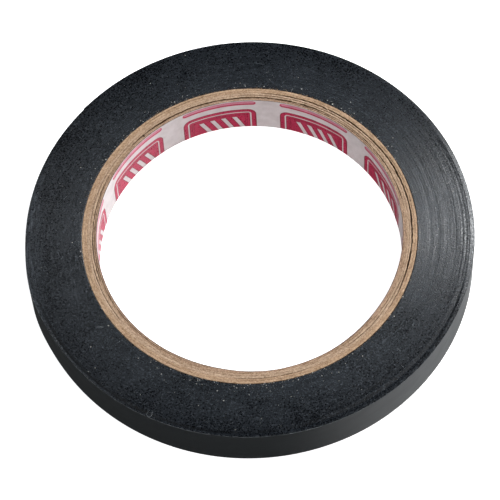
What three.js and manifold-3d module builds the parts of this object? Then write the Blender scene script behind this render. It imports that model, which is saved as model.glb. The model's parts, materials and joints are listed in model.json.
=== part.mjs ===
// A roll of narrow black PVC tape, wound on a slit of spiral-wound paperboard tube.
// Millimetres, +Z along the roll's axis. The roll lies flat: its lower side is on z = 0, and the
// origin is on the axis there. The tape is wound anticlockwise as seen from above.
import * as THREE from "three";
import { mergeVertices } from "three/addons/utils/BufferGeometryUtils.js";
import Module from "manifold-3d";

// The tape.
const TAPE_WIDTH = 12.7; // 1/2 in, and the core is slit to the same width
const TAPE_THICKNESS = 0.1325; // film and adhesive together, as wound
const TAPE_LENGTH = 33000; // as sold

// The core, from its bore outwards.
const BORE_RADIUS = 38.1; // a 3 in core
const LINER_THICKNESS = 0.15; // printed paper
const THIN_PLY = 0.4; // the two plies behind the liner
const THIN_PLIES = 2;
const BODY_PLY = 0.64; // the heavier board outside them
const BODY_PLIES = 4;
const GLUE_LINE = 0.02; // between one layer and the next

// Each ply is a ribbon wound on a slant, so its two edges meet along a slanting butt joint.
const SEAM_LEAN = THREE.MathUtils.degToRad(30); // from the circumference
const SEAM_GAP = 0.3;
const LINER_SEAM_AT = 254; // degrees, where the joint meets the upper side face
const PLY_SEAMS_AT = [129, 67, 176, 272, 83, 19]; // the same for each ply, from the bore outwards

// The loose end of the outer turn, which peels as a chain of short stiff lengths.
const LOOSE_END_AT = 136; // degrees
const TAIL_LENGTHS = 5;
const TAIL_STEP = 8; // degrees of the roll that each length covers
const FOLD_GAP = 0.3; // between two lengths, along the tape
const JOIN_GAP = 0.05; // where the outer turn leaves the turns below it

const FACET = 4; // degrees of arc in one flat facet, the same for every layer
const FACETS = 360 / FACET;

const coreRadius =
  BORE_RADIUS +
  LINER_THICKNESS +
  THIN_PLIES * THIN_PLY +
  BODY_PLIES * BODY_PLY +
  (THIN_PLIES + BODY_PLIES) * GLUE_LINE;
const windingBore = coreRadius + GLUE_LINE;
// The wound strip's area seen from above is its length times its thickness.
const rollRadius = Math.sqrt(
  windingBore ** 2 + (TAPE_LENGTH * TAPE_THICKNESS) / Math.PI,
);
const peelAt = LOOSE_END_AT + 360 - TAIL_LENGTHS * TAIL_STEP;

const wasm = await Module();
wasm.setup();

const roll = new THREE.Group();

const film = new THREE.MeshStandardMaterial({ color: 0x1c1f22, roughness: 0.45, metalness: 0 });
const board = new THREE.MeshStandardMaterial({ color: 0xab937b, roughness: 0.9, metalness: 0 });
const paper = new THREE.MeshStandardMaterial({ color: 0xd6d0ce, roughness: 0.6, metalness: 0 });

function add(name, geometry, material) {
  const mesh = new THREE.Mesh(geometry, material);
  mesh.name = name;
  roll.add(mesh);
}

// A point in the plan of the roll, at an angle in degrees.
function at(radius, degrees) {
  const angle = THREE.MathUtils.degToRad(degrees);
  return new THREE.Vector2(radius * Math.cos(angle), radius * Math.sin(angle));
}

// The angle that a length of tape covers at the roll's surface, in degrees.
function spanOf(length) {
  return THREE.MathUtils.radToDeg(length / rollRadius);
}

function extruded(outline, hole) {
  const shape = new THREE.Shape(outline);
  if (hole) shape.holes.push(new THREE.Path(hole));
  return new THREE.ExtrudeGeometry(shape, { depth: TAPE_WIDTH, bevelEnabled: false });
}

function circle(radius) {
  return Array.from({ length: FACETS }, (_, i) => at(radius, i * FACET));
}

// The outer surface of the outer turn: it climbs by one thickness in the turn before its loose end.
function outerSurface(degrees) {
  return rollRadius - TAPE_THICKNESS + (TAPE_THICKNESS * (degrees - LOOSE_END_AT)) / 360;
}

// A solid of manifold-3d from a closed three.js geometry, and back.
function solidOf(geometry) {
  const bare = geometry.clone();
  bare.deleteAttribute("normal");
  bare.deleteAttribute("uv");
  const merged = mergeVertices(bare, 1e-4);
  return new wasm.Manifold(
    new wasm.Mesh({
      numProp: 3,
      vertProperties: merged.attributes.position.array,
      triVerts: new Uint32Array(merged.index.array),
    }),
  );
}

function geometryOf(solid) {
  const mesh = solid.getMesh();
  const geometry = new THREE.BufferGeometry();
  geometry.setAttribute("position", new THREE.BufferAttribute(mesh.vertProperties, 3));
  geometry.setIndex(new THREE.BufferAttribute(mesh.triVerts, 1));
  geometry.computeVertexNormals();
  return geometry;
}

// The thin slanting blade that parts a ply along its butt joint. It turns about the middle of the width,
// half of the joint's run behind the place where it meets the upper face.
function seamBlade(radius, thickness, degrees) {
  const halfRun = TAPE_WIDTH / Math.tan(SEAM_LEAN) / 2;
  const reach = halfRun + SEAM_GAP;
  const drop = radius - Math.sqrt(radius ** 2 - reach ** 2); // of the ply's curve away from the blade
  const margin = 1; // past the ply on every side
  const length = TAPE_WIDTH / Math.sin(SEAM_LEAN) + 4 * margin;
  const blade = new THREE.BoxGeometry(thickness + drop + 2 * margin, length, SEAM_GAP);
  blade.translate(radius + (thickness - drop) / 2, 0, 0);
  blade.rotateX(SEAM_LEAN);
  blade.translate(0, 0, TAPE_WIDTH / 2);
  blade.rotateZ(THREE.MathUtils.degToRad(degrees) - halfRun / radius);
  return blade;
}

// One ply of the core: a ring from its inner radius, parted at its butt joint.
function ply(radius, thickness, seamAt) {
  const ring = solidOf(extruded(circle(radius + thickness), circle(radius)));
  return geometryOf(ring.subtract(solidOf(seamBlade(radius, thickness, seamAt))));
}

function addCore() {
  add("printed_liner", ply(BORE_RADIUS, LINER_THICKNESS, LINER_SEAM_AT), paper);
  let radius = BORE_RADIUS + LINER_THICKNESS + GLUE_LINE;
  PLY_SEAMS_AT.forEach((seamAt, i) => {
    const thickness = i < THIN_PLIES ? THIN_PLY : BODY_PLY;
    add(`core_ply_${i + 1}`, ply(radius, thickness, seamAt), board);
    radius += thickness + GLUE_LINE;
  });
}

// All turns of the tape but the outer one. Its rim is a spiral with one step, where the outer turn starts.
function addWinding() {
  const rim = Array.from({ length: FACETS + 1 }, (_, i) => {
    const degrees = LOOSE_END_AT + i * FACET;
    return at(outerSurface(degrees) - TAPE_THICKNESS - GLUE_LINE, degrees);
  });
  add("wound_tape", extruded(rim, circle(windingBore)), film);
}

// A length of the outer turn between two angles, with its corners on the same facets as the turns below.
function strip(from, to) {
  const angles = [from];
  for (let a = Math.floor(from / FACET) * FACET + FACET; a < to; a += FACET) angles.push(a);
  angles.push(to);
  const outer = angles.map((a) => at(outerSurface(a), a));
  const inner = angles.map((a) => at(outerSurface(a) - TAPE_THICKNESS, a));
  return extruded([...outer, ...inner.reverse()]);
}

function addOuterTurn() {
  add("outer_turn", strip(LOOSE_END_AT + spanOf(JOIN_GAP), peelAt), film);
  for (let i = 0; i < TAIL_LENGTHS; i++) {
    const from = peelAt + i * TAIL_STEP;
    add(`tail_length_${i + 1}`, strip(from + spanOf(FOLD_GAP), from + TAIL_STEP), film);
  }
}

addCore();
addWinding();
addOuterTurn();

export default roll;
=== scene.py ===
import json
import math

import bpy
import numpy as np
from mathutils import Matrix, Vector
from mathutils.geometry import delaunay_2d_cdt

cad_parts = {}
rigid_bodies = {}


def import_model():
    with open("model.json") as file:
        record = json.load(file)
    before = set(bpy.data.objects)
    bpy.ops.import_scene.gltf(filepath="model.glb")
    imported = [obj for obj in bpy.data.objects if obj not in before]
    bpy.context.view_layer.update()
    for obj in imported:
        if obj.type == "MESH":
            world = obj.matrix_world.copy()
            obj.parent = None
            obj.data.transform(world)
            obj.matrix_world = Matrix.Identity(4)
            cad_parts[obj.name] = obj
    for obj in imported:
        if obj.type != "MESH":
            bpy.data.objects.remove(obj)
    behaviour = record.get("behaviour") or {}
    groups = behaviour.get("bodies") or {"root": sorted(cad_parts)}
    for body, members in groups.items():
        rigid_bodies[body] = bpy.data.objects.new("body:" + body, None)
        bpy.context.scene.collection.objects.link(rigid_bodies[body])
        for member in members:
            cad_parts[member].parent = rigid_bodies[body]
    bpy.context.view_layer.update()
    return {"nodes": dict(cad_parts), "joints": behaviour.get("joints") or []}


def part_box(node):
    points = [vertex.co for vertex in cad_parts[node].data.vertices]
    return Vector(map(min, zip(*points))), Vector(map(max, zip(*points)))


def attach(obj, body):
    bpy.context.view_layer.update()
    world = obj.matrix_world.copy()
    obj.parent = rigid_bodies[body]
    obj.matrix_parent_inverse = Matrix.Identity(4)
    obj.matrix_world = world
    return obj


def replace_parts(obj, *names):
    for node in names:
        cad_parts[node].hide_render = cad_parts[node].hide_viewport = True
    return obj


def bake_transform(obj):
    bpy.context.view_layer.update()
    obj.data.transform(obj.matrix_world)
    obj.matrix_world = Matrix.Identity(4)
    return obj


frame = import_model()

MM = 0.001
TAU = 2 * math.pi


def radii(node):
    """The smallest and the largest distance of a CAD node's corners from the roll's axis."""
    corners = np.array([v.co for v in frame["nodes"][node].data.vertices])
    distance = np.hypot(corners[:, 0], corners[:, 1])
    return distance.min(), distance.max()


# Sizes from the frame.
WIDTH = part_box("wound_tape")[1].z
BORE, LINER_BACK = radii("printed_liner")
CORE = radii("wound_tape")[0]
TAILS = [joint["child"] for joint in frame["joints"]]
ROLL = frame["joints"][0]["parent"]
PLIES = [f"core_ply_{i + 1}" for i in range(6)]

# The tape, wound anticlockwise seen from above. Angles, in degrees from +X, count on past 360.
TAPE = 0.1325 * MM  # a turn's pitch
FILM_SHARE = 0.95  # of the pitch that the strip fills
LOOSE_END = 136
TAIL_STEP = 8
PEEL = LOOSE_END + 360 - TAIL_STEP * len(TAILS)
RIM = radii("tail_length_5")[1]
SWELL, SWELL_AT, SWELL_REACH = 0.48 * MM, 193.5, 9.5

# The core's slanting joints, and where they meet the upper face, in degrees.
SEAM_LEAN = math.radians(30)
SEAM_GAP = 0.3 * MM
LINER_SEAM = 254
PLY_SEAMS = [129, 67, 176, 272, 83, 19]

# Where plies have come apart at a side face: at which boundary, counted outwards from the bore,
# from and to which angle, and how wide in mm.
PARTED_ABOVE = [
    (4, -44, 90, 0.34),
    (2, 44, 146, 0.3),
    (1, 24, 78, 0.13),
    (2, 4, 52, 0.16),
    (5, -4, 38, 0.09),
    (3, 28, 98, 0.14),
    (4, 258, 292, 0.1),
    (3, 186, 218, 0.09),
    (1, 150, 252, 0.12),
    (2, 146, 204, 0.15),
    (3, 128, 176, 0.08),
    (5, 92, 132, 0.08),
    (3, 300, 344, 0.09),
    (2, 296, 336, 0.08),
]
PARTED_BELOW = [
    (4, 150, 262, 0.2),
    (2, 290, 362, 0.15),
    (3, 20, 96, 0.1),
    (1, 100, 150, 0.09),
]
PARTED_DEPTH = 4.3 * MM  # the bore's worn edge also reaches this deep
BORE_WEAR = 1.0 * MM

# The liner's print, in millimetres along the bore and up it.
PRINT_PITCH = 25.4
PANEL = (19.3, 8.6)  # its width and its top
PANEL_CORNER = 2.2
PANEL_AT = 175.4  # degrees, the middle of one panel
BAR = (10.7, 12.35)  # the bottom and top of the bar over a panel

# The view: the camera's distance and elevation from the middle of the lower side, its turn about
# the line of sight, how far above and left of that middle it aims, in degrees, and its lens.
VIEW_DISTANCE = 0.7009
VIEW_ELEVATION = 61.86
VIEW_TURN = 3.65
VIEW_ABOVE = 0.12
VIEW_LEFT = 0.02
VIEW_LENS = 199.75  # mm


def linear(*rgb):
    """A colour from its 0 to 255 display values."""
    share = np.array(rgb) / 255
    low, high = share / 12.92, ((share + 0.055) / 1.055) ** 2.4
    return (*np.where(share <= 0.04045, low, high), 1.0)


# --- Random surfaces -----------------------------------------------------------------------------


def eased(t):
    return t * t * (3 - 2 * t)


def ramp(x, start, end):
    """0 before start, 1 after end, and a smooth climb between them."""
    return eased(np.clip((x - start) / (end - start), 0, 1))


def wander(seed, x, step):
    """A smooth random curve from -1 to 1 that bends about once in each step of x."""
    a = (x - x.min()) / step
    i = a.astype(int)
    knots = np.random.default_rng(seed).uniform(-1, 1, i.max() + 2)
    return knots[i] + (knots[i + 1] - knots[i]) * eased(a - i)


def relief(seed, u, v, step_u, step_v):
    """A smooth random surface from -1 to 1 with features about one step long each way."""
    a, b = (u - u.min()) / step_u, (v - v.min()) / step_v
    i, j = a.astype(int), b.astype(int)
    knots = np.random.default_rng(seed).uniform(-1, 1, (i.max() + 2, j.max() + 2))
    s, t = eased(a - i), eased(b - j)
    near = knots[i, j] + (knots[i + 1, j] - knots[i, j]) * s
    far = knots[i, j + 1] + (knots[i + 1, j + 1] - knots[i, j + 1]) * s
    return near + (far - near) * t


# --- Meshes --------------------------------------------------------------------------------------


def finish_piece(name, mesh, body, materials):
    """A new object for a mesh, with its materials, on its body."""
    piece = bpy.data.objects.new(name, mesh)
    bpy.context.scene.collection.objects.link(piece)
    for material in materials:
        mesh.materials.append(material)
    if body:
        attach(piece, body)
    return piece


def edge_ends(mesh):
    """The numbers of the two corners of each edge."""
    ends = np.zeros(len(mesh.edges) * 2, int)
    mesh.edges.foreach_get("vertices", ends)
    return ends.reshape(-1, 2)


def mark_sharp(mesh, crisp):
    mesh.attributes.new("sharp_edge", "BOOLEAN", "EDGE").data.foreach_set("value", crisp)


def set_materials(mesh, numbers):
    mesh.polygons.foreach_set("material_index", numbers.astype(np.int32))


def loft(name, sections, along, around, sharp=(), face_material=None):
    """A closed mesh through sections, an array of loops of points. A loop runs inwards over the
    top, down, outwards over the bottom and up. along and around are each point's place on the
    surface, for the UV map. The lengthwise edges in sharp, numbered round the loop, stay crisp."""
    count, loop = sections.shape[:2]
    i, j = np.meshgrid(np.arange(count - 1), np.arange(loop), indexing="ij")
    k = (j + 1) % loop
    quads = np.stack([i * loop + j, (i + 1) * loop + j, (i + 1) * loop + k, i * loop + k], -1)
    first = list(range(loop))
    last = [(count - 1) * loop + n for n in reversed(first)]
    mesh = bpy.data.meshes.new(name)
    faces = [*quads.reshape(-1, 4).tolist(), first, last]
    mesh.from_pydata(sections.reshape(-1, 3).tolist(), [], faces)
    corner = np.zeros(len(mesh.loops), int)
    mesh.loops.foreach_get("vertex_index", corner)
    places = np.stack([along.ravel(), around.ravel()], -1)[corner]
    mesh.uv_layers.new(name="strip").data.foreach_set("uv", places.ravel())
    mesh.shade_smooth()
    low, high = np.sort(edge_ends(mesh), 1).T
    crisp = (high - low == loop) & np.isin(low % loop, list(sharp))
    crisp |= (high < loop) | (low >= (count - 1) * loop)
    mark_sharp(mesh, crisp)
    if face_material is not None:
        set_materials(mesh, np.append(np.tile(face_material, count - 1), [0, 0]))
    return mesh


def polar(radius, angle, z):
    """Points from their distance from the axis, angle in radians, and height."""
    return np.stack([radius * np.cos(angle), radius * np.sin(angle), z + 0 * radius], -1)


def place(radius, degrees, z):
    angle = math.radians(degrees)
    return Vector((radius * math.cos(angle), radius * math.sin(angle), z))


# --- Materials -----------------------------------------------------------------------------------


class Shader:
    """A Principled material and the nodes that feed it."""

    def __init__(self, name, **sockets):
        self.material = bpy.data.materials.new(name)
        self.material.use_nodes = True
        self.tree = self.material.node_tree
        self.surface = self.tree.nodes["Principled BSDF"]
        for socket, value in sockets.items():
            self.surface.inputs[socket.replace("_", " ")].default_value = value

    def node(self, kind, inputs, output=0, **settings):
        """The output of a new node. Each of its inputs is a value or another node's output."""
        node = self.tree.nodes.new("ShaderNode" + kind)
        for key, value in settings.items():
            setattr(node, key, value)
        for key, value in inputs.items():
            if isinstance(value, bpy.types.NodeSocket):
                self.tree.links.new(value, node.inputs[key])
            else:
                node.inputs[key].default_value = value
        return node.outputs[output]

    def feed(self, socket, value):
        self.tree.links.new(value, self.surface.inputs[socket])

    def math(self, operation, a, b):
        return self.node("Math", {0: a, 1: b}, operation=operation)

    def weigh(self, *parts):
        """The sum of some values, each times its weight."""
        total, *others = [self.math("MULTIPLY", value, weight) for value, weight in parts]
        for other in others:
            total = self.math("ADD", total, other)
        return total

    def position(self, stretch=(1, 1, 1)):
        """Where a point lies in the object, with each axis stretched."""
        here = self.node("TexCoord", {}, "Object")
        return self.node("Mapping", {"Vector": here, "Scale": stretch})

    def strip(self, along, around):
        """Where a point lies on its strip, in steps of the two lengths."""
        here = self.node("TexCoord", {}, "UV")
        return self.node("Mapping", {"Vector": here, "Scale": (1 / along, 1 / around, 1)})

    def noise(self, where, scale=1.0, detail=3.0, roughness=0.5):
        inputs = {"Vector": where, "Scale": scale, "Detail": detail, "Roughness": roughness}
        return self.node("TexNoise", inputs, "Fac")

    def spread(self, value, low, high, to_low=0.0, to_high=1.0):
        """A value from low to high, spread out to run from to_low to to_high."""
        inputs = {"Value": value, "From Min": low, "From Max": high}
        return self.node("MapRange", {**inputs, "To Min": to_low, "To Max": to_high})

    def mix(self, share, a, b):
        """Colour a where share is 0, and colour b where it is 1."""
        return self.node("Mix", {0: share, 6: a, 7: b}, 2, data_type="RGBA")

    def bump(self, height, depth):
        inputs = {"Height": height, "Distance": depth, "Strength": 1.0}
        self.feed("Normal", self.node("Bump", inputs, "Normal"))


def film_material():
    """The tape's smooth outer side: satin black PVC, faintly streaked along its length."""
    shader = Shader("pvc_film", Roughness=0.34, IOR=1.5)
    cloud = shader.noise(shader.strip(6 * MM, 3 * MM), detail=4)
    streak = shader.noise(shader.strip(9 * MM, 0.22 * MM))
    grain = shader.noise(shader.strip(0.35 * MM, 0.3 * MM), detail=2)
    shader.feed("Base Color", shader.mix(cloud, linear(25, 28, 29), linear(31, 34, 36)))
    uneven = shader.weigh((cloud, 0.6), (streak, 0.4))
    shader.feed("Roughness", shader.spread(uneven, 0.3, 0.7, 0.28, 0.4))
    shader.bump(shader.weigh((streak, 0.6), (grain, 0.4)), 0.01 * MM)
    return shader.material


def adhesive_material():
    """The tape's inner side: clear black rubber adhesive, a little glossier and faintly brown."""
    shader = Shader("adhesive", Roughness=0.22, IOR=1.5, Coat_Weight=0.25, Coat_Roughness=0.12)
    cloud = shader.noise(shader.strip(2.5 * MM, 1.2 * MM), detail=4)
    shader.feed("Base Color", shader.mix(cloud, linear(30, 28, 27), linear(44, 40, 37)))
    shader.feed("Roughness", shader.spread(cloud, 0.3, 0.7, 0.18, 0.34))
    shader.bump(cloud, 0.02 * MM)
    return shader.material


def slit_material():
    """The cut edges of the turns: dull blue-black, brushed round by the slitting knife, and darker
    towards the rim as painted shade. Fine pale dust lies on them, thickest next to the core, and
    pale streaks at the far left of the rim are a painted sheen."""
    shader = Shader("slit_tape", IOR=1.5, Anisotropic=0.7, Anisotropic_Rotation=0.25)
    shader.feed("Tangent", shader.node("Tangent", {}, direction_type="RADIAL", axis="Z"))
    here = shader.position()
    radius = shader.node("VectorMath", {0: shader.position((1, 1, 0))}, 1, operation="LENGTH")
    outward = shader.spread(radius, CORE + 4 * MM, RIM - 1 * MM)
    cloud = shader.noise(here, scale=90, detail=4)
    speck = shader.noise(here, scale=2500, detail=2, roughness=0.6)
    streak = shader.noise(shader.strip(2.4 * MM, 3 * TAPE), detail=2, roughness=0.6)

    tone = shader.weigh((cloud, 0.25), (speck, 0.75))
    darkest, palest = 0.36, 0.66
    shade = shader.spread(tone, darkest, palest)
    inner = shader.mix(shade, linear(3, 6, 9), linear(38, 43, 49))
    outer = shader.mix(shade, linear(1, 2, 4), linear(23, 28, 34))

    specks, streaks = shader.spread(speck, 0.59, 0.74), shader.spread(streak, 0.56, 0.8)
    dust = shader.weigh((specks, 0.34), (streaks, 0.26))
    dust = shader.math("MULTIPLY", dust, shader.spread(outward, 0, 1, 1.0, 0.5))
    # Painted sheen: pale streaks on the far left of the rim, added to the dust.
    x = shader.node("SeparateXYZ", {"Vector": here})
    far_left = shader.spread(x, -50.5 * MM, -54 * MM)
    painted_sheen = shader.math("MULTIPLY", far_left, shader.spread(streak, 0.4, 0.65))
    dust = shader.math("ADD", dust, shader.math("MULTIPLY", painted_sheen, 0.26))
    # Darker from the core out to the rim: painted shade, where the outer turns slope away from the
    # light.
    base = shader.mix(outward, inner, outer)
    shader.feed("Base Color", shader.mix(dust, base, linear(111, 118, 126)))

    rough = shader.spread(tone, darkest, palest, 0.27, 0.63)
    smoother = shader.math("MULTIPLY", outward, 0.11)
    shader.feed("Roughness", shader.math("SUBTRACT", rough, smoother))
    shader.bump(shader.weigh((speck, 0.5), (streak, 0.5)), 0.085 * MM)
    return shader.material


def board_material(name, pale, dark, seed):
    """Slit grey-brown board: fibres along the ply, mottling, and dark spots that are painted shade
    in pits torn by the knife.
    """
    shader = Shader(name, Roughness=0.92, IOR=1.45, Specular_IOR_Level=0.25)
    moved = {"Vector": shader.position(), "Location": (seed, seed * 0.7, 0)}
    here = shader.node("Mapping", moved)
    fibre = shader.noise(shader.strip(0.5 * MM, 0.1 * MM), roughness=0.65)
    mottle = shader.noise(here, scale=260, roughness=0.6)
    grain = shader.noise(here, scale=2100, roughness=0.7)
    pit_shade = shader.noise(shader.strip(0.6 * MM, 0.2 * MM), detail=2)
    tone = shader.weigh((fibre, 0.3), (mottle, 0.25), (grain, 0.45))
    colour = shader.mix(shader.spread(tone, 0.4, 0.6), dark, pale)
    # Painted shade: dark brown spots where the knife tore pits.
    painted_pit_shade = shader.math("MULTIPLY", shader.spread(pit_shade, 0.58, 0.7), shader.spread(grain, 0.42, 0.56))
    colour = shader.mix(shader.math("MULTIPLY", painted_pit_shade, 0.85), colour, linear(70, 48, 30))
    shader.feed("Base Color", colour)
    shader.bump(shader.weigh((fibre, 0.5), (grain, 0.5)), 0.16 * MM)
    return shader.material


def glued_shaded_material():
    """The flat sides of the plies, brown with dried glue and torn fibre, and darkened further as
    painted shade in the gaps between plies.
    """
    shader = Shader("board_glued_shaded", Roughness=0.85, IOR=1.45, Specular_IOR_Level=0.25)
    fibre = shader.noise(shader.strip(1.2 * MM, 0.25 * MM), roughness=0.65)
    cloud = shader.noise(shader.position(), scale=300)
    shade = shader.spread(shader.weigh((fibre, 0.5), (cloud, 0.5)), 0.35, 0.65)
    shader.feed("Base Color", shader.mix(shade, linear(70, 46, 28), linear(112, 82, 56)))
    shader.bump(fibre, 0.06 * MM)
    return shader.material


def paper_material(name, colour, roughness, worn):
    """Smooth coated paper, or ink on it, with a faint fibre texture and a mottled tone."""
    shader = Shader(name, Roughness=roughness, IOR=1.45, Specular_IOR_Level=0.35)
    here = shader.position()
    mottle = shader.noise(here, scale=420, detail=4, roughness=0.6)
    fibre = shader.noise(here, scale=2400)
    shader.feed("Base Color", shader.mix(shader.spread(mottle, 0.35, 0.7), colour, worn))
    uneven = shader.spread(fibre, 0.3, 0.7, roughness - 0.08, roughness + 0.08)
    shader.feed("Roughness", uneven)
    shader.bump(fibre, 0.015 * MM)
    return shader.material


def dust_material(name, pale, dark):
    """Paper dust and lint: each speck is its own shade."""
    shader = Shader(name, Roughness=0.9, Specular_IOR_Level=0.2)
    shade = shader.noise(shader.position(), scale=700, detail=2)
    colour = shader.mix(shader.spread(shade, 0.35, 0.65), linear(*dark), linear(*pale))
    shader.feed("Base Color", colour)
    return shader.material


def edge_highlight_material():
    """The outer turn's upper corner: black, with a mottled pale painted highlight along the front
    that fades out towards the back.
    """
    shader = Shader("painted_edge_highlight", Roughness=0.5, IOR=1.5)
    highlight_mottle = shader.noise(shader.position(), scale=500, detail=4, roughness=0.7)
    y = shader.node("SeparateXYZ", {"Vector": shader.position()}, 1)
    front = shader.spread(y, -9 * MM, -20 * MM)
    share = shader.math("MULTIPLY", shader.spread(highlight_mottle, 0.35, 0.6), front)
    shader.feed("Base Color", shader.mix(share, linear(36, 39, 42), linear(98, 104, 106)))
    shader.bump(highlight_mottle, 0.03 * MM)
    return shader.material


FILM = film_material()
EDGE_HIGHLIGHT = edge_highlight_material()
GLUED_SHADED = glued_shaded_material()
ADHESIVE = adhesive_material()
SLIT = slit_material()


# --- The tape ------------------------------------------------------------------------------------


def surface(angle):
    """How far from the axis the strip's outer side is, at an angle in degrees along the tape. The
    turns swell out a little on one side, the outer ones most."""
    round_turn = RIM - TAPE + TAPE * (angle - LOOSE_END) / 360
    swell = SWELL * np.exp(-(((angle % 360 - SWELL_AT) / SWELL_REACH) ** 2))
    return round_turn + swell * np.clip((round_turn - CORE) / (RIM - CORE), 0, 1) ** 2


def rim_slump(radius, angle):
    """How far the turns stand back from the side face: in a groove short of the rim at the front,
    wider and deeper in to the right, at the rim's rounded shoulder, and in a dip at the core."""
    turn = angle % 360
    front = ramp(turn, 188, 212) * (1 - ramp(turn, 326, 350))
    right = ramp(turn, 248, 300)
    groove_at = RIM - (0.8 + 0.7 * right) * MM
    groove_reach = (0.36 + 0.16 * right) * MM
    groove = 0.26 * MM * front * np.exp(-(((radius - groove_at) / groove_reach) ** 2))
    shoulder = (0.2 + 0.14 * np.maximum(np.cos(np.radians(angle)), 0) ** 4) * MM
    shoulder = shoulder * ramp(radius, RIM - 1.3 * MM, RIM)
    dip = 0.14 * MM * (1 - ramp(radius, CORE, CORE + 0.22 * MM))
    return groove + shoulder + dip


def side_offset(seed, angle):
    """How far the strip's edge stands out of the side face, as it wanders from turn to turn."""
    turn = angle / 360
    bundle = wander(seed, turn, 6.3) * (0.6 + 0.4 * np.cos(np.radians(angle)))
    return 0.012 * MM * bundle + 0.007 * MM * wander(seed + 1, turn, 0.31)


def edge_tilt(seed, angle):
    """How much lower a turn's outer corner is than its inner one, as the knife left it."""
    turn = angle / 360
    uneven = 0.009 * wander(seed, turn, 4.3) + 0.012 * wander(seed + 1, turn, 0.43)
    round_from_back = (angle + 130) % 360
    uneven = uneven + 0.012 * relief(seed + 3, round_from_back, turn, 24, 1.8)
    near_rim = ramp(surface(angle), RIM - 4.5 * MM, RIM - 1.2 * MM)
    fine = 0.009 * wander(seed + 2, turn, 0.04)
    return (0.017 + (0.6 + 0.9 * near_rim) * uneven + fine) * MM


TURN_STEP = 2  # degrees between the wound strip's sections
BELOW_TURN = 140  # how far round the lower face's wear is from the upper one's


def add_wound_tape():
    """All turns but the outer one, as the one strip that they are."""
    turns = (surface(LOOSE_END) - TAPE - CORE) / TAPE
    sections = int(turns * 360 / TURN_STEP)
    angle = LOOSE_END - TURN_STEP * np.arange(sections, -1, -1.0)
    outer = surface(angle) - TAPE * (1 - FILM_SHARE) / 2
    inner = outer - TAPE * FILM_SHARE
    middle = (outer + inner) / 2
    top, bottom = WIDTH + side_offset(11, angle), side_offset(31, angle)
    top_tilt, bottom_tilt = edge_tilt(21, angle) / 2, edge_tilt(41, angle) / 2
    turn = np.radians(angle)
    below = angle + BELOW_TURN
    corners = [
        polar(outer, turn, top - top_tilt - rim_slump(outer, angle)),
        polar(inner, turn, top + top_tilt - rim_slump(inner, angle)),
        polar(inner, turn, bottom - bottom_tilt + rim_slump(inner, below)),
        polar(outer, turn, bottom + bottom_tilt + rim_slump(outer, below)),
    ]
    along = np.repeat((middle * turn)[:, None], 4, 1)
    around = np.tile([0, TAPE, TAPE + WIDTH, 2 * TAPE + WIDTH], (len(angle), 1))
    cut, film, adhesive = range(3)
    kinds = [cut, adhesive, cut, film]
    mesh = loft("winding", np.stack(corners, 1), along, around, range(4), kinds)
    piece = finish_piece("wound_strip", mesh, ROLL, [SLIT, FILM, ADHESIVE])
    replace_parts(piece, "wound_tape")


# The heights of an outer turn's points, close together at its edges, in millimetres.
BAND_HEIGHTS = np.concatenate(
    [[0, 0.012, 0.04, 0.1, 0.2], np.linspace(0.4, 12.3, 14), [12.5, 12.6, 12.66, 12.688, 12.7]]
)
BAND_FOOT = 0.02 * MM
HIGHLIGHT_POINTS = 3  # from the upper corner down


def band(name, start, end, step=1.0):
    """A length of the outer turn between two angles, with rounded edges and a slightly uneven
    surface."""
    count = max(2, round((end - start) / step) + 1)
    angle, share = np.linspace(start, end, count), BAND_HEIGHTS / BAND_HEIGHTS[-1]
    a, s = np.meshgrid(angle, share, indexing="ij")
    high = WIDTH + side_offset(11, angle) * 0.6 - rim_slump(RIM, angle)
    z = BAND_FOOT + (high - BAND_FOOT)[:, None] * s
    reach = np.minimum(s, 1 - s) * WIDTH
    rounding = 0.05 * MM * (1 - ramp(reach, 0, 0.35 * MM)) ** 2
    swell = 0.012 * MM * relief(51, np.radians(a + 360) * RIM, z, 14 * MM, 5 * MM)
    outer = surface(a) - rounding + swell + end_lift(a)
    inner = outer - TAPE * FILM_SHARE
    turn = np.radians(a)
    outside, inside = polar(outer, turn, z), polar(inner, turn, z)
    sections = np.concatenate([outside[:, -1:], inside[:, ::-1], outside[:, :-1]], 1)
    around = np.concatenate([z[:, -1:], z[:, ::-1] + 2 * WIDTH, z[:, :-1]], 1)
    along = np.repeat((turn * RIM)[:, :1], sections.shape[1], 1)
    points = len(share)
    film, adhesive, cut, worn = range(4)
    # The top points of the outer side take the painted edge highlight.
    outer_side = [film] * (points - 1 - HIGHLIGHT_POINTS) + [worn] * HIGHLIGHT_POINTS
    kinds = [cut] + [adhesive] * (points - 1) + [cut] + outer_side
    return loft(name, sections, along, around, (0, 1, points, points + 1), kinds)


def end_lift(a):
    """How far the tape stands off the roll, which it does only at its very end."""
    end = LOOSE_END + 360
    return 0.03 * MM * ramp(a, end - 3, end) ** 2


def add_outer_turn():
    """The outer turn, and the loose end as lengths, one in place of each of the tail's lengths."""
    parts = [FILM, ADHESIVE, SLIT, EDGE_HIGHLIGHT]
    root = band("outer_turn_mesh", LOOSE_END, PEEL)
    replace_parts(finish_piece("outer_turn_film", root, ROLL, parts), "outer_turn")
    edges = [PEEL + TAIL_STEP * (i + 0.5) for i in range(len(TAILS) - 1)]
    edges = [PEEL, *edges, LOOSE_END + 360]
    for i, tail in enumerate(TAILS):
        mesh = band(f"tail_mesh_{i + 1}", edges[i], edges[i + 1], 0.25)
        piece = finish_piece(f"tail_film_{i + 1}", mesh, None, parts)
        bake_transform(piece)
        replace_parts(piece, f"tail_length_{i + 1}")


# --- The core ------------------------------------------------------------------------------------


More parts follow.
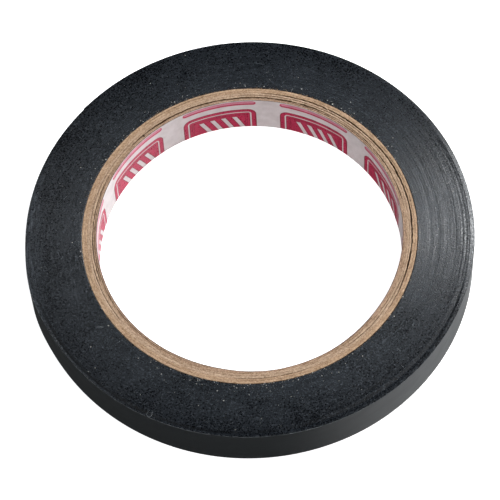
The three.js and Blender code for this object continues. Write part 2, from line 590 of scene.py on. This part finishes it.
def parting(boundary, angle, places):
    """How wide the gap between two plies is at a side face, at angles in degrees. It is a hairline
    except in the places where they have come apart."""
    width = 0.012 + 0.008 * wander(900 + boundary, angle, 9)
    for at, start, end, most in places:
        if at != boundary:
            continue
        middle, half = (start + end) / 2, (end - start) / 2
        away = np.abs((angle - middle + 180) % 360 - 180)
        seed = int(most * 1000)
        ragged = 1 + 0.35 * wander(700 + seed, angle, 3.1) + 0.45 * wander(710 + seed, angle, 0.9)
        width = np.maximum(width, most * ragged * (1 - ramp(away, half * 0.55, half)))
    return width * MM


def meander(boundary, angle):
    """How far a boundary between plies strays from a true circle at a side face."""
    if boundary in (0, len(PLIES)):
        return 0 * angle
    slow, quick = wander(800 + boundary, angle % 360, 13), wander(830 + boundary, angle % 360, 1.6)
    return (0.05 * slow + 0.02 * quick) * MM


def bore_wear(degrees, z):
    """How far the bore's upper edge, liner and first ply, has been rubbed down at the front."""
    turn = degrees % 360
    front = ramp(turn, 248, 278) * (1 - ramp(turn, 292, 324))
    return BORE_WEAR * front * np.clip(1 - (WIDTH - z) / PARTED_DEPTH, 0, 1)


PLY_CELL = 0.1 * MM  # across the slit edges
PLY_SECTIONS = 1250
PLY_DEPTHS = np.array([0.05, 0.2, 0.6, 1.4, 2.6, 4.3]) * MM  # of a wall's points below a face


def ply_outline(cells):
    """A ply's section: each point's share of the thickness and height, and each side's material."""
    heights = np.concatenate([WIDTH - PLY_DEPTHS, [WIDTH / 2], PLY_DEPTHS[::-1]])
    radial, wall = np.linspace(1, 0, cells + 1), np.zeros(len(heights))
    share = np.concatenate([radial, wall, radial[::-1], wall + 1])
    z = np.concatenate([0 * radial + WIDTH, heights, 0 * radial, heights[::-1]])
    return share, z, 2 * ([0] * cells + [1] * (len(heights) + 1))


def ply_angles(seed, seam, inner, z):
    """Each point's angle, by section. The sections lean over at the ply's slanting joint."""
    gap = SEAM_GAP / inner
    u = np.linspace(0, 1, PLY_SECTIONS)[:, None]
    lean = (z - WIDTH) / math.tan(SEAM_LEAN) / inner
    lean = lean + wander(seed + 5, z, 0.7 * MM) * 0.12 * MM / inner
    near_joint = 1 - ramp(np.minimum(u, 1 - u) * TAU, 0, 0.9)
    return math.radians(seam) + lean * near_joint + gap / 2 + u * (TAU - gap)


def ply_strays(index, seed, degrees, arc, z):
    """How far out the inner and the outer wall of a ply are, near the side faces."""
    near_top = 1 - ramp(WIDTH - z, 0, PARTED_DEPTH)
    near_bottom = 1 - ramp(z, 0, PARTED_DEPTH)
    low, high = 0 * z, 0 * z
    for near, places in ((near_top, PARTED_ABOVE), (near_bottom, PARTED_BELOW)):
        inner_gap, outer_gap = (parting(index + i, degrees, places) for i in (0, 1))
        low = low + near * (inner_gap / 2 + meander(index, degrees))
        high = high + near * (meander(index + 1, degrees) - outer_gap / 2)
    for side, near in enumerate((near_top, near_bottom)):
        ragged = relief(seed + 7 + side, arc, z, 0.45 * MM, 1.1 * MM) * 0.03 * MM * near
        low, high = low + (index > 0) * ragged, high + (index < len(PLIES) - 1) * ragged
    return low, high


def add_ply(index):
    """One ply of board, parted along its slanting joint, with torn slit edges."""
    node, seed = PLIES[index], 100 + 10 * index
    inner, outer = radii(node)
    thickness = outer - inner
    share, z, kinds = ply_outline(round(thickness / PLY_CELL))
    angle = ply_angles(seed, PLY_SEAMS[index], inner, z)
    share, z = share + 0 * angle, z + 0 * angle
    degrees, arc = np.degrees(angle) + 720, angle * inner
    low, high = ply_strays(index, seed, degrees, arc, z)
    radius = inner + low + (thickness + high - low) * share
    torn = relief(seed, arc, share * thickness, 0.5 * MM, 0.14 * MM) * 0.035 * MM
    torn += relief(seed + 1, arc, share * thickness, 0.24 * MM, 0.12 * MM) * 0.028 * MM
    worn = 0.05 * MM * np.abs(2 * share - 1) ** 3
    on_top, on_bottom = WIDTH - z < 1e-9, z < 1e-9
    if index == 0:
        z = z - bore_wear(degrees, z) * (1 - share)
    z = z + on_top * (torn - worn - 0.02 * MM) - on_bottom * (torn - worn - 0.05 * MM)
    sections = polar(radius, angle, z)
    steps = np.linalg.norm(np.diff(sections, axis=1, append=sections[:, :1]), axis=-1)
    around = np.cumsum(np.roll(steps, 1, 1) * (np.arange(len(share[0])) > 0), 1)
    mesh = loft(f"ply_mesh_{index + 1}", sections, arc, around, face_material=kinds)
    parts = [BOARDS[index], GLUED_SHADED]
    piece = finish_piece(f"board_ply_{index + 1}", mesh, ROLL, parts)
    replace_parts(piece, node)


BOARD_TONES = [  # the pale and the dark of each ply, from the bore outwards
    ((184, 154, 130), (122, 95, 75)),
    ((186, 157, 131), (122, 95, 73)),
    ((190, 163, 138), (132, 106, 83)),
    ((194, 167, 142), (138, 112, 89)),
    ((188, 159, 131), (132, 104, 79)),
    ((192, 162, 134), (134, 107, 81)),
]
BOARDS = [
    board_material(f"board_{i + 1}", linear(*pale), linear(*dark), seed=0.3 + 0.8 * i)
    for i, (pale, dark) in enumerate(BOARD_TONES)
]


# --- The liner -----------------------------------------------------------------------------------


def inset_panel(middle, inset, steps=5):
    """The panel's outline, drawn in from its edges: up one side, round the corners and down."""
    half, top = PANEL[0] / 2 - inset, PANEL[1] - inset
    corner = max(PANEL_CORNER - inset, 0.3)
    points = [(middle - half, 0.0)]
    for side in (-1, 1):
        for i in range(steps + 1):
            turn = math.radians(90 * i / steps)
            out, up = math.cos(turn), math.sin(turn)
            if side > 0:
                out, up = up, out
            x = middle + side * half - side * corner * (1 - out)
            points.append((x, top - corner * (1 - up)))
    return [*points, (middle + half, 0.0)]


def slanted_bar(middle, x, half, top, lean=0.42):
    """A leaning stroke that the slit edge cuts off below."""
    return [
        (middle + x - half, 0.0),
        (middle + x - half + lean * top, top),
        (middle + x + half + lean * top, top),
        (middle + x + half, 0.0),
    ]


def pill(middle, half, low, high, steps=6):
    """A bar with rounded ends."""
    r = (high - low) / 2
    points = []
    for side in (-1, 1):
        for i in range(steps + 1):
            turn = math.pi / 2 + math.pi * i / steps
            x, y = r * math.cos(turn), r * math.sin(turn)
            points.append((middle - side * (x - (half - r)), low + r - side * y))
    return points


def inside(point, outline):
    """Whether a point lies within an outline."""
    x, y = point
    within = False
    for (x1, y1), (x2, y2) in zip(outline, outline[1:] + outline[:1]):
        if (y1 > y) != (y2 > y) and x < (x2 - x1) * (y - y1) / (y2 - y1) + x1:
            within = not within
    return within


PAPER_INK, CRIMSON_INK, EDGE_INK, PINK_INK, PAPER_CUT_SHADED = range(5)
# Each frame of a panel: how far in from its edges it starts, and its ink.
FRAMES = [
    (0, EDGE_INK),
    (0.28, CRIMSON_INK),
    (1.25, PAPER_INK),
    (1.62, EDGE_INK),
    (1.8, CRIMSON_INK),
]
SHADE_LINES, SHADE_AT, SHADE_STEP, SHADE_THICKNESS = 2, 2.3, 0.48, 0.16
STROKES = [-6.1, -3.2, -0.3, 2.6]  # from the panel's middle
STROKE_LAYERS = [(0.78, 5.3, EDGE_INK), (0.58, 5.1, PAPER_INK)]  # half the width, height, ink


def printed_shapes(middle):
    """The shapes of one repeat of the print, each over those before it, with its ink."""
    frames = [*FRAMES]
    for line in range(SHADE_LINES):
        inset = SHADE_AT + SHADE_STEP * line
        frames += [(inset, EDGE_INK), (inset + SHADE_THICKNESS, CRIMSON_INK)]
    shapes = [(inset_panel(middle, inset), ink) for inset, ink in frames]
    for x in STROKES:
        for half, top, ink in STROKE_LAYERS:
            shapes.append((slanted_bar(middle, x, half, top), ink))
    half, (low, high) = PANEL[0] / 2, BAR
    shapes.append((pill(middle, half, low, high), CRIMSON_INK))
    shapes.append((pill(middle, half - 0.4, low + 0.65, high - 0.16), PINK_INK))
    return shapes


def liner_tilt(z):
    """How far back along the bore the liner's slanting ends are at a height, in mm."""
    return (z - WIDTH / MM) / math.tan(SEAM_LEAN)


def cut_sheet(left, right, shapes):
    """The flat liner in mm, between its upper corners, as points and triangles. It is cut along the
    shapes and along a grid that lets it bend."""
    width = WIDTH / MM
    points, edges = [], []

    def line(outline, closed=True):
        first, count = len(points), len(outline)
        points.extend(Vector(p) for p in outline)
        sides = range(count if closed else count - 1)
        edges.extend((first + i, first + (i + 1) % count) for i in sides)

    line([(left + liner_tilt(0), 0), (right + liner_tilt(0), 0), (right, width), (left, width)])
    step = math.radians(1.5) * (BORE / MM)
    for i in range(1, int((right - left) / step)):
        x = left + i * step
        line([(x + liner_tilt(0), 0), (x, width)], closed=False)
    for share in (0.25, 0.5, 0.75):
        x, z = liner_tilt(share * width), share * width
        line([(left + x, z), (right + x, z)], closed=False)
    for outline, _ink in shapes:
        line(outline)
    flat, _, triangles, _, _, _ = delaunay_2d_cdt(points, edges, [], 1, 1e-5)
    flat, triangles = np.array([tuple(p) for p in flat]), np.array(triangles)
    x, z = flat[triangles].mean(1).T
    triangles = triangles[(x > left + liner_tilt(z)) & (x < right + liner_tilt(z))]
    used, triangles = np.unique(triangles, return_inverse=True)
    flat, triangles = flat[used], triangles.reshape(-1, 3)
    (ax, ay), (bx, by), (cx, cy) = (flat[triangles[:, n]].T for n in range(3))
    turned = (bx - ax) * (cy - ay) - (by - ay) * (cx - ax) < 0
    triangles[turned] = triangles[turned][:, ::-1]
    return flat, triangles


def triangle_inks(centres, shapes):
    """Each triangle's ink: that of the last shape that its centre lies in."""
    inks = np.zeros(len(centres), int)
    for outline, ink in shapes:
        corners = np.array(outline)
        near = np.all((centres > corners.min(0)) & (centres < corners.max(0)), axis=1)
        for n in np.flatnonzero(near):
            if inside(centres[n], outline):
                inks[n] = ink
    return inks


def add_liner():
    """The printed paper in the bore. The print is laid out flat, cut into the sheet, then rolled
    up."""
    bore = BORE / MM
    right = math.radians(LINER_SEAM) * bore
    left = right - TAU * bore + SEAM_GAP / MM
    shapes = []
    for i in range(-8, 8):
        middle = math.radians(PANEL_AT) * bore + i * PRINT_PITCH
        reach = PANEL[0] / 2
        if left + liner_tilt(0) < middle + reach and middle - reach < right:
            shapes.extend(printed_shapes(middle))
    flat, triangles = cut_sheet(left, right, shapes)
    inks = triangle_inks(flat[triangles].mean(1), shapes)

    angle, z = flat[:, 0] / bore, flat[:, 1] * MM
    z = z - bore_wear(np.degrees(angle), z)
    wave = 0.02 * MM * relief(61, flat[:, 0], flat[:, 1], 4.0, 3.0)
    front, back = polar(BORE + wave, angle, z), polar(LINER_BACK + 0 * wave, angle, z)
    count, triangles = len(flat), triangles.tolist()
    sides = dict.fromkeys(side for t in triangles for side in zip(t, t[1:] + t[:1]))
    rim = [(a, b) for a, b in sides if (b, a) not in sides]
    faces = [t[::-1] for t in triangles] + [[v + count for v in t] for t in triangles]
    faces += [[a, b, b + count, a + count] for a, b in rim]
    mesh = bpy.data.meshes.new("liner_mesh")
    mesh.from_pydata(np.concatenate([front, back]).tolist(), [], faces)
    set_materials(mesh, np.append(inks, [PAPER_CUT_SHADED] * (len(triangles) + len(rim))))
    mesh.shade_smooth()
    boundary = {frozenset((a + n, b + n)) for a, b in rim for n in (0, count)}
    mark_sharp(mesh, [frozenset(ends) in boundary for ends in edge_ends(mesh).tolist()])
    inked = [
        paper_material("liner_paper", linear(196, 189, 188), 0.44, linear(182, 174, 173)),
        paper_material("crimson_ink", linear(176, 38, 74), 0.32, linear(158, 33, 65)),
        paper_material("crimson_edge", linear(136, 18, 50), 0.32, linear(120, 17, 46)),
        paper_material("crimson_tint", linear(196, 124, 142), 0.34, linear(180, 112, 128)),
        # The liner's cut edge and back: the paper's own grey-brown, darkened as painted shade along
        # the bore's edge.
        paper_material("paper_cut_shaded", linear(118, 103, 93), 0.8, linear(86, 74, 66)),
    ]
    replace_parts(finish_piece("liner_print", mesh, ROLL, inked), "printed_liner")


# --- Dust and fibres -----------------------------------------------------------------------------


class Scraps:
    """Many small closed bits in one mesh."""

    def __init__(self):
        self.points, self.faces = [], []

    def bit(self, points, faces):
        first = len(self.points)
        self.points.extend(points)
        self.faces.extend([first + i for i in face] for face in faces)

    def fleck(self, rng, centre, size, up=1):
        """A flattened, uneven crumb: a ring of four corners, with a point above and one below."""
        turn = rng.uniform(0, TAU)
        reach = size * rng.uniform(0.55, 1.1, 6) * [1, 1, 1, 1, 0.45, 0.45]
        aspect = rng.uniform(0.45, 1)
        lift = up * size * 0.3
        ring = []
        for k, r in enumerate(reach[:4]):
            a = turn + k * TAU / 4 + rng.uniform(-0.3, 0.3)
            corner = centre + Vector((math.cos(a) * r, math.sin(a) * r * aspect, 0))
            ring.append(corner + Vector((0, 0, lift)))
        top = centre + Vector((0, 0, lift + reach[4]))
        bottom = centre + Vector((0, 0, lift - reach[5]))
        faces = [(k, (k + 1) % 4, 4) for k in range(4)] + [((k + 1) % 4, k, 5) for k in range(4)]
        self.bit([*ring, top, bottom], faces)

    def hair(self, path, thickness):
        """A fine three-sided fibre along a path of points, tapered at both ends."""
        points = []
        for i, p in enumerate(path):
            ahead = path[min(i + 1, len(path) - 1)] - path[max(i - 1, 0)]
            side = ahead.cross(Vector((0, 0, 1)))
            side = side.normalized() if side.length > 1e-9 else Vector((1, 0, 0))
            over = side.cross(ahead).normalized()
            r = thickness / 2 * (0.45 if i in (0, len(path) - 1) else 1)
            for t in (0, TAU / 3, 2 * TAU / 3):
                points.append(p + side * (r * math.cos(t)) + over * (r * math.sin(t)))
        faces = []
        for i in range(0, 3 * (len(path) - 1), 3):
            for k, n in ((0, 1), (1, 2), (2, 0)):
                faces.append((i + k, i + 3 + k, i + 3 + n, i + n))
        last = 3 * (len(path) - 1)
        self.bit(points, [*faces, (0, 1, 2), (last + 2, last + 1, last)])

    def piece(self, name, slot, material):
        mesh = bpy.data.meshes.new(name)
        mesh.from_pydata([tuple(p) for p in self.points], [], self.faces)
        return finish_piece(name, mesh, ROLL, [material])


def curl(rng, start, heading, length, steps, bend, rise):
    """A path of points that wanders off from its start, rising from the surface and coming back."""
    path, here = [Vector(start)], Vector(start)
    turn = rng.uniform(-bend, bend)
    for i in range(steps):
        heading += turn / steps + rng.uniform(-0.2, 0.2) * bend / steps
        here = here + Vector((math.cos(heading), math.sin(heading), 0)) * length / steps
        height = rise * math.sin(math.pi * (i + 1) / (steps + 1))
        path.append(here + Vector((0, 0, height)))
    return path


# Scraps on the upper and on the lower side: their height, which way is out, and how many.
DUST = [(WIDTH, 1, 2300), (0.03 * MM, -1, 920)]
DUST_NEAR_CORE, DUST_GATHERED = 0.4, 0.55  # shares of the dust
CRUMBS_NEAR_CORE, CRUMBS_ELSEWHERE = 0.2, 0.025  # shares of the dust there
FUZZ = [(WIDTH, 1, 1000), (0.06 * MM, -1, 500)]
FUZZ_AT_TAPE = 0.45
# CHIPS and LARGE_CHIP are dark flecks of painted shadow for pits in the board.
CHIPS = [(WIDTH, 1, 110), (0.05 * MM, -1, 60)]
LARGE_CHIP, LARGE_CHIP_AT = 0.42 * MM, 130.5
SHORT_HAIRS = 26
LOOP_MIDDLE, LOOP_STEPS = place(RIM - 0.85 * MM, 240.8, WIDTH + 0.06 * MM), 18
STRAIGHT_START = place(45.75 * MM, 211.3, WIDTH + 0.04 * MM)


def add_dust():
    """Paper dust on the slit faces, thickest next to the core and at the back and the front, and a
    few crumbs."""
    rng = np.random.default_rng(7)
    scraps = Scraps()
    span = RIM - CORE - 1.5 * MM
    for z, up, amount in DUST:
        for _ in range(amount):
            near_core = rng.random() < DUST_NEAR_CORE
            away = rng.exponential(1.0 * MM) if near_core else rng.uniform(0, span)
            if away > span:
                continue
            if rng.random() < DUST_GATHERED:
                degrees = rng.choice([rng.normal(95, 32), rng.normal(268, 20)])
            else:
                degrees = rng.uniform(0, 360)
            size = rng.uniform(0.02, 0.05) * MM
            if rng.random() < (CRUMBS_NEAR_CORE if near_core else CRUMBS_ELSEWHERE):
                size = rng.uniform(0.09, 0.2) * MM
            scraps.fleck(rng, place(CORE + 0.1 * MM + away, degrees, z), size, up)
    dust = dust_material("paper_dust", (232, 229, 222), (150, 148, 138))
    scraps.piece("slitting_dust", "liner_paper", dust)


def add_board_fuzz():
    """Fibres that the knife pulled out of the board's slit edges, some over the tape next to it."""
    rng = np.random.default_rng(17)
    scraps = Scraps()
    for z, up, amount in FUZZ:
        for _ in range(amount):
            at_tape = rng.random() < FUZZ_AT_TAPE
            if at_tape:
                r = CORE - rng.uniform(-0.05, 0.2) * MM
            else:
                r = rng.uniform(BORE + 0.2 * MM, CORE - 0.1 * MM)
            degrees = rng.uniform(0, 360)
            if at_tape:
                swing, longest = rng.normal(0, 0.7), 0.75
            else:
                swing, longest = math.pi / 2 + rng.normal(0, 0.5), 0.5
            heading, length = math.radians(degrees) + swing, rng.uniform(0.2, longest) * MM
            start = place(r, degrees, z - up * 0.03 * MM)
            path = curl(rng, start, heading, length, steps=4, bend=1.2, rise=up * 0.07 * MM)
            scraps.hair(path, rng.uniform(0.016, 0.034) * MM)
    fibre = dust_material("board_fibre", (206, 178, 146), (160, 128, 96))
    scraps.piece("board_fuzz", "core_board", fibre)


def add_board_shadow_flecks():
    """Dark flecks at the joints between the plies, painted shadow for pits where the knife tore the
    board, and a larger one.
    """
    rng = np.random.default_rng(37)
    scraps = Scraps()
    joints = [radii(ply)[1] for ply in PLIES[:-1]]
    for z, up, amount in CHIPS:
        for _ in range(amount):
            r = joints[rng.choice([0, 1, 1, 2, 2, 3, 4])] + rng.normal(0, 0.07) * MM
            at = place(r, rng.uniform(0, 360), z - up * 0.02 * MM)
            scraps.fleck(rng, at, rng.uniform(0.05, 0.12) * MM, up)
    at = place(joints[0] + 0.1 * MM, LARGE_CHIP_AT, WIDTH - 0.02 * MM)
    scraps.fleck(rng, at, LARGE_CHIP)
    pit_shade = dust_material("board_pit_shadow", (78, 54, 36), (38, 26, 17))
    scraps.piece("board_shadow_flecks", "core_board", pit_shade)


def add_lint():
    """Loose hairs on the tape: short fine ones, a thicker one looped near the rim, and a straight
    one."""
    rng = np.random.default_rng(27)
    scraps = Scraps()
    for _ in range(SHORT_HAIRS):
        r = rng.uniform(CORE + 1 * MM, RIM - 2 * MM)
        start = place(r, rng.uniform(0, 360), WIDTH + 0.03 * MM)
        heading, length = rng.uniform(0, TAU), rng.uniform(0.5, 1.7) * MM
        path = curl(rng, start, heading, length, steps=7, bend=1.6, rise=0.1 * MM)
        scraps.hair(path, rng.uniform(0.014, 0.024) * MM)
    loop = []
    for i in range(LOOP_STEPS + 1):
        t = i / LOOP_STEPS
        turn = math.radians(70 + 345 * t)
        reach = 0.5 + 0.5 * abs(2 * t - 1) ** 5 + 0.3 * t * t
        bow = Vector((reach * math.cos(turn), 1.15 * reach * math.sin(turn), 0))
        loop.append(LOOP_MIDDLE + bow * MM)
    scraps.hair(loop, 0.036 * MM)
    path = curl(rng, STRAIGHT_START, -0.06, 2.0 * MM, steps=6, bend=0.1, rise=0.08 * MM)
    scraps.hair(path, 0.045 * MM)
    lint = dust_material("lint_fibre", (196, 200, 204), (120, 126, 130))
    scraps.piece("lint", "liner_paper", lint)


# --- The stage -----------------------------------------------------------------------------------


WHITE = (1, 1, 1, 1)
ROOM_CORNERS = [(-3.0, -3.0), (3.0, -3.0), (3.0, 3.0), (-3.0, 3.0)]
FLOOR_HEIGHT, WALL_HEIGHT = -0.05 * MM, 4.0


def room_piece(name, points, faces, shader, unseen_by):
    """A surface round the roll that some kinds of ray don't see."""
    mesh = bpy.data.meshes.new(f"{name}_mesh")
    mesh.from_pydata(points, [], faces)
    mesh.materials.append(shader.material)
    piece = bpy.data.objects.new(name, mesh)
    for ray in unseen_by:
        setattr(piece, f"visible_{ray}", False)
    bpy.context.scene.collection.objects.link(piece)
    return piece


def add_floor():
    """A pale grey floor just under the roll, not mirrored in it."""
    looks = {"Roughness": 0.9, "Specular_IOR_Level": 0.1}
    shader = Shader("floor", **looks, Emission_Color=WHITE, Emission_Strength=0.8)
    tone = shader.noise(shader.position(), scale=14, detail=2)
    shader.feed("Base Color", shader.mix(tone, (0.86, 0.86, 0.86, 1), (0.88, 0.88, 0.88, 1)))
    points = [(x, y, FLOOR_HEIGHT) for x, y in ROOM_CORNERS]
    floor = room_piece("floor", points, [(0, 1, 2, 3)], shader, ["glossy"])


def add_backdrop():
    """White walls round the floor, which only the camera sees."""
    shader = Shader("backdrop", Roughness=0.9, Emission_Color=WHITE, Emission_Strength=1.0)
    points = [(x, y, z) for z in (0, WALL_HEIGHT) for x, y in ROOM_CORNERS]
    faces = [(i, (i + 1) % 4, (i + 1) % 4 + 4, i + 4) for i in range(4)]
    unseen_by = ["glossy", "diffuse", "shadow", "transmission"]
    walls = room_piece("backdrop", points, faces, shader, unseen_by)


def add_lamp(name, position, size, power, gloss=True):
    """A square soft box that faces the roll. Without gloss it lights things but isn't mirrored in
    them."""
    data = bpy.data.lights.new(name, "AREA")
    data.shape = "SQUARE"
    data.size = size
    data.energy = power
    data.color = (0.95, 0.975, 1.0)
    lamp = bpy.data.objects.new(name, data)
    lamp.location = position
    lamp.rotation_euler = Vector(position).to_track_quat("Z", "Y").to_euler()
    lamp.visible_glossy = gloss
    bpy.context.scene.collection.objects.link(lamp)


def add_world():
    """A room that is bright on the right, dim on the left but for a glow high up, and pale low down
    at the back."""
    world = bpy.data.worlds.new("studio")
    world.use_nodes = True
    nodes, links = world.node_tree.nodes, world.node_tree.links
    split = nodes.new("ShaderNodeSeparateXYZ")
    links.new(nodes.new("ShaderNodeTexCoord").outputs["Generated"], split.inputs[0])

    def rise(axis, start, end, low, high):
        """A smooth change from low to high, between two places along an axis."""
        node = nodes.new("ShaderNodeMapRange")
        node.interpolation_type = "SMOOTHSTEP"
        links.new(split.outputs[axis], node.inputs["Value"])
        ranges = {"From Min": start, "From Max": end, "To Min": low, "To Max": high}
        for socket, value in ranges.items():
            node.inputs[socket].default_value = value
        return node.outputs[0]

    def join(operation, first, *others):
        for other in others:
            node = nodes.new("ShaderNodeMath")
            node.operation = operation
            links.new(first, node.inputs[0])
            links.new(other, node.inputs[1])
            first = node.outputs[0]
        return first

    right = rise("X", 0.09, 0.58, 0.055, 0.9)
    left = join("MULTIPLY", rise("X", -0.5, -0.22, 0.34, 0), rise("Z", 0.1, 0.6, 0, 1))
    behind, low = rise("Y", 0.35, 0.46, 0, 1.5), rise("Z", -0.8, -0.3, 1, 0)
    back = join("MULTIPLY", behind, low, rise("X", -0.12, 0.04, 0, 1), rise("X", 0.22, 0.3, 1, 0))
    background = nodes["Background"]
    links.new(join("ADD", right, left, back), background.inputs["Strength"])
    background.inputs["Color"].default_value = (0.97, 0.985, 1.0, 1)
    bpy.context.scene.world = world


def add_camera():
    data = bpy.data.cameras.new("camera")
    data.lens = VIEW_LENS
    camera = bpy.data.objects.new("camera", data)
    up = math.radians(VIEW_ELEVATION)
    where = Matrix.Translation(Vector((0, -math.cos(up), math.sin(up))) * VIEW_DISTANCE)
    look = Matrix.Rotation(math.pi / 2 - up, 4, "X")
    turn = Matrix.Rotation(-math.radians(VIEW_TURN), 4, "Z")
    aim = Matrix.Rotation(math.radians(VIEW_ABOVE), 4, "X")
    aim = aim @ Matrix.Rotation(math.radians(VIEW_LEFT), 4, "Y")
    camera.matrix_world = where @ look @ turn @ aim
    bpy.context.scene.collection.objects.link(camera)
    bpy.context.scene.camera = camera


bpy.context.scene.view_settings.view_transform = "Standard"
add_camera()
add_world()
add_floor()
add_backdrop()
add_lamp("key", (0.62, 0.47, 0.65), size=0.35, power=9)
add_lamp("overhead", (-0.1, -0.2, 1.5), size=1.6, power=10.5, gloss=False)
add_lamp("side", (0.85, 0.31, 0.225), size=0.4, power=5.5, gloss=False)

add_wound_tape()
add_outer_turn()
for number in range(len(PLIES)):
    add_ply(number)
add_liner()
add_dust()
add_board_fuzz()
add_board_shadow_flecks()
add_lint()
